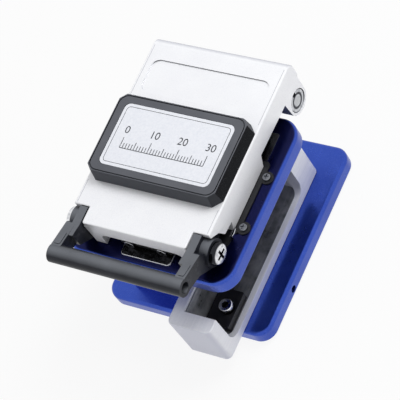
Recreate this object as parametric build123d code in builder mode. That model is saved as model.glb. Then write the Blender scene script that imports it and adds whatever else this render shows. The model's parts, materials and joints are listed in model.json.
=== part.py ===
"""Optical fibre cleaver: a flat base, a blade slider on a dovetail rail, a work
platform with two lower clamps, and a hinged lid that carries the sprung clamp
arm, the anvil and a press bail.

Units are millimetres. +Z is up, -Y is the front, the fibre lies along X.
The origin is the centre of the underside of the rubber mat.
"""
from build123d import *
import os

os.makedirs("parts", exist_ok=True)

# Clearances between pieces
move_gap = 0.3          # between pieces that pass each other
slide_gap = 0.15        # dovetail rail to slider
pin_gap = 0.05          # radial clearance of a turning fit
screw_gap = 0.1         # radial clearance of a screw in its hole
label_gap = 0.1         # round the label plate in its recess
tip_gap = 1.0           # below the tip of a screw in a blind hole

# Rubber mat and base plate
mat_thick = 1.0
mat_inset = 3.0
mat_corner = 4.0
base_width = 60.0
base_length = 68.0
base_thick = 5.2
base_corner = 5.0
base_edge = 1.2
base_under_edge = 0.4
tether_hole_r = 1.2
tether_hole_back = 18.9  # from the base's front face
tether_hole_drop = 3.2   # below the base's top
tether_hole_depth = 6.0

# Body column between base and platform
column_height = 27.3
column_left_inset = 7.8
column_front_inset = 4.8
column_rear_inset = 2.2
column_gap = 1.2        # between the column and the slider
column_corner = 3.0
column_side_corner = 0.8

# Screws through the base and the platform into the column
column_screw_side = 6.0  # from the column's faces to the screws
column_screw_front = 7.2
column_screw_rear = 10.0
column_screw_r = 1.5
base_screw_length = 10.0
base_head_r = 2.75
base_head_thick = 3.0
base_socket_r = 1.4
base_socket_depth = 1.5
platform_screw_length = 11.7
platform_head_r = 2.8
platform_head_sink = 0.3
platform_socket_r = 1.15
platform_socket_depth = 1.2

# Work platform
platform_width = 60.0
platform_length = 58.2
platform_thick = 6.0
platform_corner = 7.0
platform_edge = 1.2
platform_under_edge = 1.0
slot_clear = 0.9        # beside the blade
slot_end_clear = 1.0    # before and behind the blade's way
relief_depth = 3.2
relief_corner = 3.0
relief_arm_clear = 0.6
relief_axle_clear = 1.2

# Blade slider
slider_inset = 7.9      # from the base's right edge
slider_width = 15.5
slider_length = 69.0
slider_height = 18.0
slider_overhang = 10.0  # how far it stands out in front of the base at rest
slider_lift = 0.2       # gap between slider and base plate
slider_travel = 20.0
slider_corner = 2.0
slider_edge = 0.4
slider_front_wall = 5.1
slider_rear_block = 9.4
slider_left_wall = 3.8
slider_right_wall = 1.8
slider_floor = 2.2
slider_sill = 3.0
pocket_corner = 3.5
window_corner = 4.0
liner_thick = 0.5
liner_top_gap = 1.0

# Dovetail rail on the column, and the pin that ends the slider's travel
rail_inset = 0.6
rail_height = 9.0       # height of the rail's centre line above the base plate
rail_depth = 3.4
rail_half_root = 2.4
rail_half_tip = 3.6
rail_edge = 0.25
rail_stop_gap = 0.5     # left to the groove's closed end when the slider is back
rail_screw_pitch = 14.0
rail_screw_r = 1.25
rail_screw_reach = 5.0
rail_head_r = 2.2
rail_head_sink = 0.2
rail_socket_r = 0.9
rail_socket_depth = 0.8
stop_pin_r = 1.5
stop_pin_y = 2.0
stop_pin_depth = 3.0
stop_pin_rise = 1.5
stop_pin_edge = 0.3

# Blade, its axle and its arm
blade_offset = 8.4      # from the slider's left face
blade_r = 9.5
blade_thick = 0.8
blade_bore_r = 2.05
blade_bevel = 1.0
blade_edge_half = 0.05
blade_above_platform = 1.6
arm_width = 3.0
arm_foot_width = 8.6
arm_foot_length = 12.5
arm_foot_height = 3.0
arm_foot_corner = 0.6
arm_bar_height = 5.0
arm_bar_reach = 9.0
arm_shoulder = 2.0
arm_hub_r = 4.3
arm_screw_offset = 1.9  # to the right of the blade
arm_screw_back = 14.1   # from the slider's front face
arm_screw_r = 1.25
arm_head_r = 2.25
arm_head_thick = 2.5
arm_head_edge = 0.35
arm_socket_r = 1.25
arm_socket_depth = 1.6
washer_r = 3.6
washer_thick = 0.3
axle_shank_r = 1.25
axle_head_r = 3.4
axle_head_thick = 1.5
axle_head_edge = 0.3
axle_slot_length = 5.0
axle_slot_width = 0.8

# Fibre line and lower clamps
fibre_offset = 2.1      # in front of the platform's middle
clamp_length = 12.0
clamp_width = 3.6
clamp_offset = 3.6      # from the blade's plane to the middle of each clamp
clamp_block_rise = 1.0
rubber_thick = 0.5
rubber_inset = 0.3
rubber_corner = 0.4
carrier_thick = 0.5
carrier_corner = 1.0
carrier_front = 9.4     # from the fibre line
carrier_rear = 15.5
carrier_left_reach = 11.0
carrier_right_inset = 4.0
ear_r = 2.1
ear_reach = 0.9
ear_front = 7.2         # from the fibre line
ear_rear = 10.3
inner_screw_inset = 2.4
inner_screw_shift = 1.0
carrier_screw_r = 0.8
carrier_head_r = 1.3
carrier_head_thick = 0.9
carrier_head_edge = 0.4
carrier_cross_length = 1.5
carrier_cross_width = 0.4
carrier_cross_depth = 0.5

# Fibre guide on the left of the platform
guide_gap = 1.4
guide_length = 23.6
guide_width = 12.0
guide_thick = 1.5
guide_corner = 1.0
guide_edge = 0.3
groove_width = 1.6
groove_depth = 0.7

# Steel plates and magnets on the platform
rest_plate_gap = 0.4
rest_plate_right_inset = 5.5
rest_plate_length = 9.5
rest_plate_thick = 0.3
rest_plate_corner = 0.6
keeper_inset = 2.2
keeper_width = 18.0
keeper_length = 5.6
keeper_thick = 0.6
keeper_corner = 1.2
keeper_edge = 0.25
magnet_r = 2.5
magnet_thick = 2.0
magnet_x = 5.0

# Lid: sizes from the platform's edges and above the platform
lid_side_inset = 5.7
lid_front_inset = 4.4
lid_rear_reach = 5.6    # behind the hinge
lid_rise = 12.0
lid_wall = 2.0
lid_roof = 2.0
lid_edge = 0.5
lid_rear_round = 2.5
lid_skirt_gap = 0.8
lid_step_rise = 4.7
lid_band_rise = 6.2
skirt_front = 8.8       # from the fibre line
skirt_rear = 13.5
tongue_side_inset = 5.6
tongue_depth = 5.8
tongue_corner = 0.8
leg_width = 3.9
leg_depth = 7.0
band_depth = 2.4
arch_r = 2.6
recess_side_inset = 2.9
recess_gap = 3.4        # behind the thumb pad
recess_rear_inset = 7.8
recess_depth = 0.4
recess_corner = 3.0

# Thumb pad and label on the lid
pad_side_inset = 0.5
pad_front_gap = 8.8     # behind the tongue
pad_hinge_gap = 17.3    # in front of the hinge
pad_height = 4.9
pad_slope = 0.8
pad_foot_cut = 2.8      # cut corners at the foot and at the top
pad_top_cut = 2.0
pad_round = 0.5
pad_edge = 0.2
pad_groove_inset = 0.35 # fine groove round the pad's top face
pad_groove_width = 0.35
pad_groove_depth = 0.5
pad_groove_corner = 3.2
label_side_inset = 3.95
label_end_inset = 3.65
label_corner = 2.0
label_recess = 0.4
label_thick = 0.3

# Lid hinge
hinge_reach = 7.1       # behind the platform
hinge_drop = 1.2        # below the platform's top
hinge_pin_r = 1.5
lug_r = 4.8
lug_width = 4.0
lug_bore_r = 3.9
lug_bore_depth = 1.5
cap_r = 3.6
cap_thick = 1.2
cap_slot_width = 1.4
cap_slot_depth = 1.3
pin_end_gap = 0.1
knuckle_r = 4.0
arm_knuckle_width = 4.8
spring_r = 2.6
spring_wire_r = 0.35
spring_pitch = 0.85
spring_length = 3.4

# Hinge bracket on the column's rear face
bracket_half = 10.5
bracket_thick = 3.6
bracket_foot = 10.4     # below the platform's underside
bracket_neck = 3.0
bracket_corner = 1.0
bracket_screw_half = 4.6
bracket_screw_drop = 6.6
bracket_screw_r = 1.5
bracket_screw_reach = 6.0
bracket_head_r = 2.75
bracket_head_thick = 2.4
bracket_head_edge = 0.4
bracket_socket_r = 1.4
bracket_socket_depth = 1.6

# Clamp arm under the lid, with its front block
arm_under_rise = 3.1    # above the platform
arm_plate_thick = 2.6
arm_plate_edge = 0.5
arm_bar_front = 13.3    # in front of the hinge
arm_bar_rear = 4.3
arm_bar_slope = 3.0
arm_strip_left = 16.0   # from the blade's plane
arm_strip_right = 6.2
arm_strip_front = 6.8   # from the fibre line
arm_neck_half = 9.2
arm_neck_slope = 5.0
arm_knuckle_root = 4.0
block_setback = 1.0
block_depth = 4.6
block_under_rise = 1.1
block_height = 3.7
block_edge = 0.8
front_screw_x = 5.9
front_screw_rise = 2.6
front_screw_r = 0.9
front_screw_reach = 3.0
front_head_r = 1.9
front_head_thick = 0.7
front_head_edge = 0.35
front_cross_length = 2.2
front_cross_width = 0.5
front_cross_depth = 0.45

# Anvil above the blade
anvil_gap = 0.5
anvil_pad_thick = 0.6
anvil_width = 2.0
anvil_length = 4.0
anvil_clear = 0.6
anvil_foot_width = 8.0
anvil_foot_length = 9.0
anvil_foot_thick = 1.6
anvil_foot_corner = 1.5

# Bail on the lid's front corners
bail_pivot_back = 3.5   # behind the lid's front edge
bail_pivot_rise = 5.8   # above the platform
bail_side_inset = 0.3
bail_web_gap = 0.4
bail_boss_thick = 2.1
bail_boss_r = 4.4
bail_boss_rise = 0.9    # beyond the side arm
bail_arm_thick = 3.4
bail_bar_reach = 14.8   # in front of the pivot
bail_bar_rise = 5.5     # above the pivot
bail_bar_r = 2.95
bail_bar_bore_r = 1.8
bail_bar_bore_depth = 5.0
inset_width = 2.1
inset_length = 4.6
inset_rise = 0.25
inset_back = 10.2       # in front of the pivot
inset_height = 7.29     # above the pivot
inset_tilt = 11.9
bail_shank_r = 1.5
bail_head_r = 3.6
bail_head_thick = 1.9
bail_head_gap = 0.2
bail_head_edge = 0.9
bail_cross_length = 4.0
bail_cross_width = 0.9
bail_cross_depth = 1.1
bail_spring_r = 2.3
bail_spring_depth = 2.4

# Heights that follow from the sizes above
base_top = mat_thick + base_thick
platform_z = base_top + column_height
platform_top = platform_z + platform_thick
slider_z = base_top + slider_lift
slider_top = slider_z + slider_height
pocket_z = slider_z + slider_floor
rail_z = base_top + rail_height
arm_bottom = pocket_z + liner_thick
foot_top = arm_bottom + arm_foot_height
blade_top = platform_top + blade_above_platform
blade_z = blade_top - blade_r
block_top = platform_top + clamp_block_rise
lower_rubber_top = block_top + rubber_thick
upper_rubber_z = lower_rubber_top + move_gap
arm_under_z = platform_top + arm_under_rise
arm_top_z = arm_under_z + arm_plate_thick
block_under_z = platform_top + block_under_rise
front_screw_z = platform_top + front_screw_rise
lid_skirt_z = platform_top + lid_skirt_gap
lid_step_z = platform_top + lid_step_rise
lid_band_z = platform_top + lid_band_rise
lid_top = platform_top + lid_rise
roof_z = lid_top - lid_roof
leg_z = platform_top + move_gap
pad_top = lid_top + pad_height
hinge_z = platform_top - hinge_drop
bail_pivot_z = platform_top + bail_pivot_rise
anvil_z = blade_top + anvil_gap
bracket_screw_z = platform_z - bracket_screw_drop

# Places along Y
base_front = -base_length / 2
platform_front = base_front
platform_rear = platform_front + platform_length
platform_mid_y = platform_front + platform_length / 2
column_front = platform_front + column_front_inset
column_rear = platform_rear - column_rear_inset
column_mid_y = (column_front + column_rear) / 2
slider_front = base_front - slider_overhang
slider_mid_y = slider_front + slider_length / 2
pocket_front = slider_front + slider_front_wall
pocket_rear = slider_front + slider_length - slider_rear_block
rail_front = pocket_front + slider_travel + rail_stop_gap
rail_length = column_rear - rail_inset - rail_front
rail_screw_ys = [rail_front + rail_length / 2 + step * rail_screw_pitch for step in (-1, 0, 1)]
fibre_y = platform_mid_y - fibre_offset
blade_y = fibre_y - slider_travel / 2
slot_front = blade_y - blade_r - slot_end_clear
slot_rear = blade_y + slider_travel + blade_r + slot_end_clear
arm_screw_y = slider_front + arm_screw_back
magnet_y = platform_front + keeper_inset + keeper_length / 2
hinge_y = platform_rear + hinge_reach
lid_rear = hinge_y + lid_rear_reach
lid_front = platform_front + lid_front_inset
tongue_rear = lid_front + tongue_depth
pad_front = tongue_rear + pad_front_gap
pad_rear = hinge_y - pad_hinge_gap
pad_mid_y = (pad_front + pad_rear) / 2
pad_length = pad_rear - pad_front
label_length = pad_length - 2 * label_end_inset
recess_front = pad_rear + recess_gap
recess_rear = lid_rear - recess_rear_inset
block_front = lid_front + block_setback
bail_pivot_y = lid_front + bail_pivot_back

# Places along X
slider_right = base_width / 2 - slider_inset
slider_left = slider_right - slider_width
slider_mid_x = slider_left + slider_width / 2
pocket_left = slider_left + slider_left_wall
pocket_right = slider_right - slider_right_wall
column_right = slider_left - column_gap
column_left = column_left_inset - platform_width / 2
rail_right = column_right + rail_depth
blade_x = slider_left + blade_offset
blade_left = blade_x - blade_thick / 2
blade_right = blade_x + blade_thick / 2
arm_right = blade_left - washer_thick - 2 * pin_gap
arm_left = arm_right - arm_width
arm_screw_x = blade_x + arm_screw_offset
axle_head_x = blade_right + 2 * pin_gap
slot_half = blade_thick / 2 + slot_clear
clamp_xs = [blade_x - clamp_offset, blade_x + clamp_offset]
carrier_left = blade_x - carrier_left_reach
carrier_right = platform_width / 2 - carrier_right_inset
ear_x = carrier_right + ear_reach
lid_half = platform_width / 2 - lid_side_inset
wall_in = lid_half - lid_wall
lug_in = lid_half - lug_width
tongue_half = lid_half - tongue_side_inset
leg_in = tongue_half - leg_width
knuckle_out = lug_in - move_gap
knuckle_in = knuckle_out - arm_knuckle_width
pin_end = lid_half - lug_bore_depth + cap_thick + pin_end_gap
pad_half = lid_half - pad_side_inset
label_half = pad_half - label_side_inset
bail_half = lid_half - bail_side_inset
web_in = tongue_half + bail_web_gap
web_out = bail_half - bail_boss_thick
arm_in = bail_half - bail_arm_thick
boss_out = bail_half + bail_boss_rise
bail_head_x = boss_out + bail_head_gap

# Screw places
column_screw_points = [
    (x, y)
    for x in (column_left + column_screw_side, column_right - column_screw_side)
    for y in (column_front + column_screw_front, column_rear - column_screw_rear)
]
bracket_mid_x = (column_right - bracket_half) / 2
bracket_screw_xs = [bracket_mid_x - bracket_screw_half, bracket_mid_x + bracket_screw_half]
outer_screw_points = [(ear_x, fibre_y - ear_front), (ear_x, fibre_y + ear_rear)]
inner_screw_points = [
    (carrier_left + inner_screw_inset, fibre_y - ear_front + inner_screw_shift),
    (carrier_left + inner_screw_inset, fibre_y + ear_rear + inner_screw_shift),
]
carrier_screw_points = outer_screw_points + inner_screw_points
front_screw_points = [(-front_screw_x, front_screw_z), (front_screw_x, front_screw_z)]


def save(piece, name):
    """Label a finished piece and write it as its own STEP file."""
    piece.part.label = name
    export_step(piece.part, f"parts/{name}.step")


def side_plane(x, y, z):
    """Plane square to X, its own X along Y and its own Y along Z."""
    return Plane((x, y, z), x_dir=(0, 1, 0), z_dir=(1, 0, 0))


def front_plane(y):
    """Plane square to Y through y, its own X along X and its own Y along Z."""
    return Plane.XZ.offset(-y)


# Rubber mat under the base
with BuildPart() as rubber_mat:
    with BuildSketch():
        RectangleRounded(base_width - 2 * mat_inset, base_length - 2 * mat_inset, mat_corner)
    extrude(amount=mat_thick)
save(rubber_mat, "rubber_mat")

# Base plate, with the column's screw holes, the tether hole and the stop pin's hole
with BuildPart() as base_plate:
    with BuildSketch(Plane.XY.offset(mat_thick)):
        RectangleRounded(base_width, base_length, base_corner)
    extrude(amount=base_thick)
    fillet(base_plate.faces().sort_by(Axis.Z)[-1].edges(), base_edge)
    chamfer(base_plate.faces().sort_by(Axis.Z)[0].edges(), base_under_edge)
    with BuildSketch(Plane.XY.offset(mat_thick)):
        with Locations(*column_screw_points):
            Circle(base_head_r + screw_gap)
    extrude(amount=base_head_thick, mode=Mode.SUBTRACT)
    with BuildSketch(Plane.XY.offset(mat_thick)):
        with Locations(*column_screw_points):
            Circle(column_screw_r + screw_gap)
    extrude(amount=base_thick, mode=Mode.SUBTRACT)
    with BuildSketch(side_plane(base_width / 2, base_front + tether_hole_back, base_top - tether_hole_drop)):
        Circle(tether_hole_r)
    extrude(amount=-tether_hole_depth, mode=Mode.SUBTRACT)
    with BuildSketch(Plane.XY.offset(base_top)):
        with Locations((slider_mid_x, stop_pin_y)):
            Circle(stop_pin_r)
    extrude(amount=-stop_pin_depth, mode=Mode.SUBTRACT)
save(base_plate, "base_plate")

# Screws that hold the column on the base, from below
with BuildPart() as base_screws:
    with BuildSketch(Plane.XY.offset(mat_thick)):
        with Locations(*column_screw_points):
            Circle(base_head_r)
    extrude(amount=base_head_thick)
    with BuildSketch(Plane.XY.offset(mat_thick)):
        with Locations(*column_screw_points):
            Circle(column_screw_r)
    extrude(amount=base_screw_length)
    with BuildSketch(Plane.XY.offset(mat_thick)):
        with Locations(*column_screw_points):
            RegularPolygon(base_socket_r, 6)
    extrude(amount=base_socket_depth, mode=Mode.SUBTRACT)
save(base_screws, "base_screws")

# Stop pin in the base that ends the slider's travel
with BuildPart() as stop_pin:
    with BuildSketch(Plane.XY.offset(base_top - stop_pin_depth)):
        with Locations((slider_mid_x, stop_pin_y)):
            Circle(stop_pin_r)
    extrude(amount=stop_pin_depth + stop_pin_rise)
    chamfer(stop_pin.edges().sort_by(Axis.Z)[-1], stop_pin_edge)
save(stop_pin, "stop_pin")

# Column, with blind holes for the screws of base, platform, rail and bracket
with BuildPart() as body_column:
    with BuildSketch(Plane.XY.offset(base_top)):
        with Locations(((column_left + column_right) / 2, column_mid_y)):
            Rectangle(column_right - column_left, column_rear - column_front)
        fillet(vertices().group_by(Axis.X)[0], column_corner)
        fillet(vertices().group_by(Axis.X)[-1], column_side_corner)
    extrude(amount=column_height)
    with BuildSketch(Plane.XY.offset(base_top)):
        with Locations(*column_screw_points):
            Circle(column_screw_r + screw_gap)
    extrude(amount=base_screw_length - base_thick + tip_gap, mode=Mode.SUBTRACT)
    with BuildSketch(Plane.XY.offset(platform_z)):
        with Locations(*column_screw_points):
            Circle(column_screw_r + screw_gap)
    extrude(amount=platform_thick - platform_screw_length - tip_gap, mode=Mode.SUBTRACT)
    for y in rail_screw_ys:
        with BuildSketch(side_plane(column_right, y, rail_z)):
            Circle(rail_screw_r + screw_gap)
        extrude(amount=-(rail_screw_reach + tip_gap), mode=Mode.SUBTRACT)
    with BuildSketch(front_plane(column_rear)):
        with Locations(*[(x, bracket_screw_z) for x in bracket_screw_xs]):
            Circle(bracket_screw_r + screw_gap)
    extrude(amount=bracket_screw_reach + tip_gap, mode=Mode.SUBTRACT)
save(body_column, "body_column")

# Dovetail rail, screwed to the column's right side
with BuildPart() as guide_rail:
    with BuildSketch(front_plane(rail_front)):
        with BuildLine():
            Polyline(
                (column_right, rail_z - rail_half_root),
                (rail_right, rail_z - rail_half_tip),
                (rail_right, rail_z + rail_half_tip),
                (column_right, rail_z + rail_half_root),
                close=True,
            )
        make_face()
    extrude(amount=-rail_length)
    chamfer(guide_rail.edges().filter_by(Axis.Y), rail_edge)
    for y in rail_screw_ys:
        with Locations(side_plane(rail_right, y, rail_z)):
            CounterSinkHole(rail_screw_r + screw_gap, rail_head_r + screw_gap)
save(guide_rail, "guide_rail")

with BuildPart() as rail_screws:
    rail_head_x = rail_right - rail_head_sink
    rail_head_top_r = rail_head_r - rail_head_sink
    for y in rail_screw_ys:
        with BuildSketch(Plane.XY.offset(rail_z)):
            with BuildLine():
                Polyline(
                    (rail_head_x, y),
                    (rail_head_x, y + rail_head_top_r),
                    (rail_head_x - rail_head_top_r + rail_screw_r, y + rail_screw_r),
                    (column_right - rail_screw_reach, y + rail_screw_r),
                    (column_right - rail_screw_reach, y),
                    close=True,
                )
            make_face()
        revolve(axis=Axis((0, y, rail_z), (1, 0, 0)))
        with BuildSketch(side_plane(rail_head_x, y, rail_z)):
            RegularPolygon(rail_socket_r, 6)
        extrude(amount=-rail_socket_depth, mode=Mode.SUBTRACT)
save(rail_screws, "rail_screws")

# Platform with the blade slot, its relief below, the screw holes and the magnet seats
with BuildPart() as platform:
    with BuildSketch(Plane.XY.offset(platform_z)):
        with Locations((0, platform_mid_y)):
            RectangleRounded(platform_width, platform_length, platform_corner)
    extrude(amount=platform_thick)
    fillet(platform.faces().sort_by(Axis.Z)[-1].edges(), platform_edge)
    fillet(platform.faces().sort_by(Axis.Z)[0].edges(), platform_under_edge)
    with BuildSketch(Plane.XY.offset(platform_z)):
        with Locations((blade_x, (slot_front + slot_rear) / 2)):
            SlotOverall(slot_rear - slot_front, 2 * slot_half, rotation=90)
    extrude(amount=platform_thick, mode=Mode.SUBTRACT)
    relief_left = arm_left - relief_arm_clear
    relief_right = axle_head_x + axle_head_thick + relief_axle_clear
    with BuildSketch(Plane.XY.offset(platform_z)):
        with Locations(((relief_left + relief_right) / 2, (slot_front + slot_rear) / 2)):
            RectangleRounded(relief_right - relief_left, slot_rear - slot_front, relief_corner)
    extrude(amount=relief_depth, mode=Mode.SUBTRACT)
    with Locations(*[(x, y, platform_top) for x, y in column_screw_points]):
        CounterSinkHole(column_screw_r + screw_gap, platform_head_r + screw_gap)
    with BuildSketch(Plane.XY.offset(platform_top)):
        with Locations((-magnet_x, magnet_y), (magnet_x, magnet_y)):
            Circle(magnet_r)
    extrude(amount=-magnet_thick, mode=Mode.SUBTRACT)
save(platform, "platform")

with BuildPart() as platform_screws:
    head_z = platform_top - platform_head_sink
    head_top_r = platform_head_r - platform_head_sink
    for x, y in column_screw_points:
        with BuildSketch(front_plane(y)):
            with BuildLine():
                Polyline(
                    (x, head_z),
                    (x + head_top_r, head_z),
                    (x + column_screw_r, head_z - head_top_r + column_screw_r),
                    (x + column_screw_r, platform_top - platform_screw_length),
                    (x, platform_top - platform_screw_length),
                    close=True,
                )
            make_face()
        revolve(axis=Axis((x, y, 0), (0, 0, 1)))
    with BuildSketch(Plane.XY.offset(head_z)):
        with Locations(*column_screw_points):
            RegularPolygon(platform_socket_r, 6)
    extrude(amount=-platform_socket_depth, mode=Mode.SUBTRACT)
save(platform_screws, "platform_screws")

with BuildPart() as magnets:
    with BuildSketch(Plane.XY.offset(platform_top - magnet_thick)):
        with Locations((-magnet_x, magnet_y), (magnet_x, magnet_y)):
            Circle(magnet_r)
    extrude(amount=magnet_thick)
save(magnets, "magnets")

with BuildPart() as keeper_plate:
    with BuildSketch(Plane.XY.offset(platform_top)):
        with Locations((0, magnet_y)):
            RectangleRounded(keeper_width, keeper_length, keeper_corner)
    extrude(amount=keeper_thick)
    fillet(keeper_plate.faces().sort_by(Axis.Z)[-1].edges(), keeper_edge)
save(keeper_plate, "keeper_plate")

with BuildPart() as rest_plate:
    rest_left = blade_x + slot_half + rest_plate_gap
    rest_right = platform_width / 2 - rest_plate_right_inset
    rest_mid_y = fibre_y + carrier_rear + move_gap + rest_plate_length / 2
    with BuildSketch(Plane.XY.offset(platform_top)):
        with Locations(((rest_left + rest_right) / 2, rest_mid_y)):
            RectangleRounded(rest_right - rest_left, rest_plate_length, rest_plate_corner)
    extrude(amount=rest_plate_thick)
save(rest_plate, "rest_plate")

# Lower clamp carriers on each side of the blade slot
carrier_mid_y = fibre_y + (carrier_rear - carrier_front) / 2
carrier_length = carrier_front + carrier_rear
with BuildPart() as lower_clamp_right:
    inner_x = blade_x + slot_half
    with BuildSketch(Plane.XY.offset(platform_top)):
        with Locations(((inner_x + carrier_right) / 2, carrier_mid_y)):
            Rectangle(carrier_right - inner_x, carrier_length)
        chamfer(vertices().group_by(Axis.X)[-1], carrier_corner)
        with Locations(*outer_screw_points):
            Circle(ear_r)
        with Locations(*outer_screw_points):
            Circle(carrier_screw_r + screw_gap, mode=Mode.SUBTRACT)
    extrude(amount=carrier_thick)
    with BuildSketch(Plane.XY.offset(platform_top)):
        with Locations((clamp_xs[1], fibre_y)):
            Rectangle(clamp_width, clamp_length)
    extrude(amount=clamp_block_rise)
save(lower_clamp_right, "lower_clamp_right")

with BuildPart() as lower_clamp_left:
    inner_x = blade_x - slot_half
    with BuildSketch(Plane.XY.offset(platform_top)):
        with Locations(((carrier_left + inner_x) / 2, carrier_mid_y)):
            Rectangle(inner_x - carrier_left, carrier_length)
        chamfer(vertices().group_by(Axis.X)[0], carrier_corner)
        with Locations(*inner_screw_points):
            Circle(carrier_screw_r + screw_gap, mode=Mode.SUBTRACT)
    extrude(amount=carrier_thick)
    with BuildSketch(Plane.XY.offset(platform_top)):
        with Locations((clamp_xs[0], fibre_y)):
            Rectangle(clamp_width, clamp_length)
    extrude(amount=clamp_block_rise)
save(lower_clamp_left, "lower_clamp_left")

# Small pan-head screws that hold the clamp carriers
with BuildPart() as carrier_screws:
    with BuildSketch(Plane.XY.offset(platform_top + carrier_thick)):
        with Locations(*carrier_screw_points):
            Circle(carrier_head_r)
    extrude(amount=carrier_head_thick)
    fillet(carrier_screws.edges().group_by(Axis.Z)[-1], carrier_head_edge)
    with BuildSketch(Plane.XY.offset(platform_top)):
        with Locations(*carrier_screw_points):
            Circle(carrier_screw_r)
    extrude(amount=carrier_thick)
    with BuildSketch(Plane.XY.offset(platform_top + carrier_thick + carrier_head_thick)):
        with Locations(*carrier_screw_points):
            Rectangle(carrier_cross_length, carrier_cross_width)
            Rectangle(carrier_cross_width, carrier_cross_length)
    extrude(amount=-carrier_cross_depth, mode=Mode.SUBTRACT)
save(carrier_screws, "carrier_screws")

with BuildPart() as lower_pads:
    with BuildSketch(Plane.XY.offset(block_top)):
        with Locations(*[(x, fibre_y) for x in clamp_xs]):
            RectangleRounded(clamp_width - 2 * rubber_inset, clamp_length - 2 * rubber_inset, rubber_corner)
    extrude(amount=rubber_thick)
save(lower_pads, "lower_pads")

# Fibre guide with a V groove along the fibre line
with BuildPart() as fibre_guide:
    guide_right = carrier_left - guide_gap
    guide_top = platform_top + guide_thick
    with BuildSketch(Plane.XY.offset(platform_top)):
        with Locations((guide_right - guide_length / 2, fibre_y)):
            RectangleRounded(guide_length, guide_width, guide_corner)
    extrude(amount=guide_thick)
    chamfer(fibre_guide.faces().sort_by(Axis.Z)[-1].edges(), guide_edge)
    with BuildSketch(side_plane(guide_right, fibre_y, guide_top)):
        with BuildLine():
            Polyline((-groove_width / 2, 0), (0, -groove_depth), (groove_width / 2, 0), close=True)
        make_face()
    extrude(amount=-guide_length, mode=Mode.SUBTRACT)
save(fibre_guide, "fibre_guide")

# Slider carriage: open pocket and side window, dovetail groove, groove for the stop pin
with BuildPart() as slider_carriage:
    with BuildSketch(Plane.XY.offset(slider_z)):
        with Locations((slider_mid_x, slider_mid_y)):
            RectangleRounded(slider_width, slider_length, slider_corner)
    extrude(amount=slider_height)
    fillet(slider_carriage.faces().sort_by(Axis.Z)[-1].edges(), slider_edge)
    pocket_mid_y = (pocket_front + pocket_rear) / 2
    with BuildSketch(Plane.XY.offset(pocket_z)):
        with Locations(((pocket_left + pocket_right) / 2, pocket_mid_y)):
            Rectangle(pocket_right - pocket_left, pocket_rear - pocket_front)
        fillet(vertices().group_by(Axis.X)[-1], pocket_corner)
    extrude(amount=slider_height, mode=Mode.SUBTRACT)
    with BuildSketch(side_plane(slider_right, pocket_mid_y, slider_top + slider_sill)):
        RectangleRounded(pocket_rear - pocket_front, 2 * slider_height, window_corner)
    extrude(amount=-(slider_right_wall + pocket_corner), mode=Mode.SUBTRACT)
    with BuildSketch(front_plane(pocket_front)):
        with BuildLine():
            Polyline(
                (column_right, rail_z - rail_half_root - slide_gap),
                (rail_right + slide_gap, rail_z - rail_half_tip - slide_gap),
                (rail_right + slide_gap, rail_z + rail_half_tip + slide_gap),
                (column_right, rail_z + rail_half_root + slide_gap),
                close=True,
            )
        make_face()
    extrude(amount=slider_front_wall - slider_length, mode=Mode.SUBTRACT)
    with BuildSketch(Plane.XY.offset(slider_z)):
        with Locations((slider_mid_x, stop_pin_y - slider_travel / 2)):
            SlotCenterToCenter(slider_travel, 2 * (stop_pin_r + move_gap), rotation=90)
    extrude(amount=stop_pin_rise + move_gap, mode=Mode.SUBTRACT)
save(slider_carriage, "slider_carriage")

# Polished liner on the pocket's floor and left wall
with BuildPart() as pocket_liner:
    with BuildSketch(Plane.XY.offset(pocket_z)):
        with Locations(((pocket_left + pocket_right) / 2, pocket_mid_y)):
            Rectangle(pocket_right - pocket_left, pocket_rear - pocket_front)
        fillet(vertices().group_by(Axis.X)[-1], pocket_corner)
    extrude(amount=liner_thick)
    with BuildSketch(Plane.XY.offset(pocket_z)):
        with Locations((pocket_left + liner_thick / 2, pocket_mid_y)):
            Rectangle(liner_thick, pocket_rear - pocket_front)
    extrude(amount=slider_top - liner_top_gap - pocket_z)
save(pocket_liner, "pocket_liner")

# Blade arm: a foot at the slider's front, a bar and an upright with the hub
with BuildPart() as blade_arm:
    foot_front = arm_screw_y - arm_foot_length / 2
    foot_rear = arm_screw_y + arm_foot_length / 2
    bar_top = arm_bottom + arm_bar_height
    with BuildSketch(Plane.YZ.offset(arm_left)):
        with BuildLine():
            Polyline(
                (foot_front, arm_bottom),
                (blade_y + arm_bar_reach, arm_bottom),
                (blade_y + arm_bar_reach, bar_top),
                (blade_y + arm_hub_r, bar_top + arm_shoulder),
                (blade_y + arm_hub_r, blade_z),
                (blade_y - arm_hub_r, blade_z),
                (blade_y - arm_hub_r, bar_top + arm_shoulder),
                (foot_rear, foot_top),
                (foot_front, foot_top),
                close=True,
            )
        make_face()
        with Locations((blade_y, blade_z)):
            Circle(arm_hub_r)
            Circle(axle_shank_r + screw_gap, mode=Mode.SUBTRACT)
    extrude(amount=arm_width)
    with BuildSketch(Plane.XY.offset(arm_bottom)):
        with Locations((arm_left + arm_foot_width / 2, arm_screw_y)):
            RectangleRounded(arm_foot_width, arm_foot_length, arm_foot_corner)
    extrude(amount=arm_foot_height)
    with BuildSketch(Plane.XY.offset(arm_bottom)):
        with Locations((arm_screw_x, arm_screw_y)):
            Circle(arm_screw_r + screw_gap)
    extrude(amount=arm_foot_height, mode=Mode.SUBTRACT)
save(blade_arm, "blade_arm")

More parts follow.
